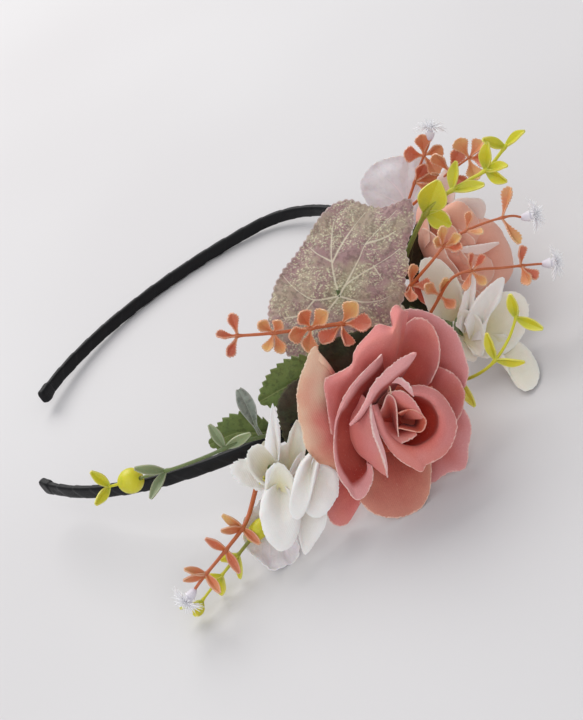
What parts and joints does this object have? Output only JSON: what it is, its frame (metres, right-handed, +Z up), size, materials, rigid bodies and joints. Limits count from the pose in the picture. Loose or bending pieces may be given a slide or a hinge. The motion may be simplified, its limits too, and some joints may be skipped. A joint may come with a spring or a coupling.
{
  "type": "flower crown",
  "caption": "Ribbon-covered spring headband carrying cloth roses, white blossoms, leaves and moulded sprigs along one side; its arms spring outwards to fit a head.",
  "frame": {"origin": "on the table, under the middle of the crown's box as it lies with the band leaning on the flowers", "axes": "+Z up from the table; +X from the band's open ends towards the middle of the crown; +Y from the flowered arm to the bare arm"},
  "size_m": [0.177, 0.168, 0.0581],
  "materials": {
    "strip": "spring steel",
    "ribbon": "satin ribbon",
    "rose_pink": "dusty pink cloth",
    "blush": "blush cloth",
    "white_petal": "ivory cloth",
    "cream_eye": "cream plastic",
    "mauve_leaf": "printed cloth",
    "lilac_leaf": "pale cloth",
    "green_leaf": "printed cloth",
    "green_stem": "moulded",
    "coral_plastic": "moulded",
    "lime_plastic": "moulded",
    "white_plastic": "moulded",
    "glue": "hot-melt"
  },
  "bodies": {
    "crown": {"back_floret": "white_plastic", "coral_sprig_back": "coral_plastic", "coral_sprig_outer": "coral_plastic", "coral_sprig_side": "coral_plastic", "coral_sprig_upper": "coral_plastic", "crown_ribbon": "ribbon", "crown_strip": "strip", "dark_green_leaf": "green_leaf", "far_blossom_eye": "cream_eye", "far_blossom_glue": "glue", "far_blossom_inner_petals": "white_petal", "far_blossom_outer_petals": "white_petal", "far_blossom_stem": "green_stem", "large_rose_glue": "glue", "large_rose_heart": "rose_pink", "large_rose_petals_1": "rose_pink", "large_rose_petals_2": "rose_pink", "large_rose_petals_3": "rose_pink", "large_rose_petals_4": "rose_pink", "large_rose_petals_5": "rose_pink", "large_rose_stem": "green_stem", "lilac_leaf": "lilac_leaf", "lime_sprig_outer": "lime_plastic", "lime_sprig_tall": "lime_plastic", "mauve_leaf": "mauve_leaf", "mauve_leaf_stalk": "green_stem", "outer_floret": "white_plastic", "side_floret": "white_plastic", "small_rose_glue": "glue", "small_rose_heart": "blush", "small_rose_petals_1": "blush", "small_rose_petals_2": "blush", "small_rose_petals_3": "blush", "small_rose_stem": "green_stem", "upper_green_leaf": "green_leaf"},
    "near_arm": {"coral_sprig_low": "coral_plastic", "lime_sprig_arm": "lime_plastic", "lime_sprig_low": "lime_plastic", "low_floret": "white_plastic", "low_lilac_leaf": "lilac_leaf", "lower_green_leaf": "green_leaf", "near_arm_ribbon": "ribbon", "near_arm_strip": "strip", "near_blossom_eye": "cream_eye", "near_blossom_glue": "glue", "near_blossom_inner_petals": "white_petal", "near_blossom_outer_petals": "white_petal", "near_blossom_stem": "green_stem", "near_tip_fold": "ribbon", "small_grey_leaf": "green_leaf"},
    "far_arm": {"far_arm_ribbon": "ribbon", "far_arm_strip": "strip", "far_tip_fold": "ribbon"}
  },
  "joints": [
    {"name": "near_arm_flex", "type": "hinge", "parent": "crown", "child": "near_arm", "pos_m": [0.00364, -0.0491, 0.025], "axis": [-0.0413, 0.1633, 0.9857], "range_deg": [-3, 9], "stiffness_Nm_per_rad": 0.5},
    {"name": "far_arm_flex", "type": "hinge", "parent": "crown", "child": "far_arm", "pos_m": [0.03022, 0.05876, 0.00824], "axis": [0.0413, -0.1633, -0.9857], "range_deg": [-3, 9], "stiffness_Nm_per_rad": 0.5}
  ]
}
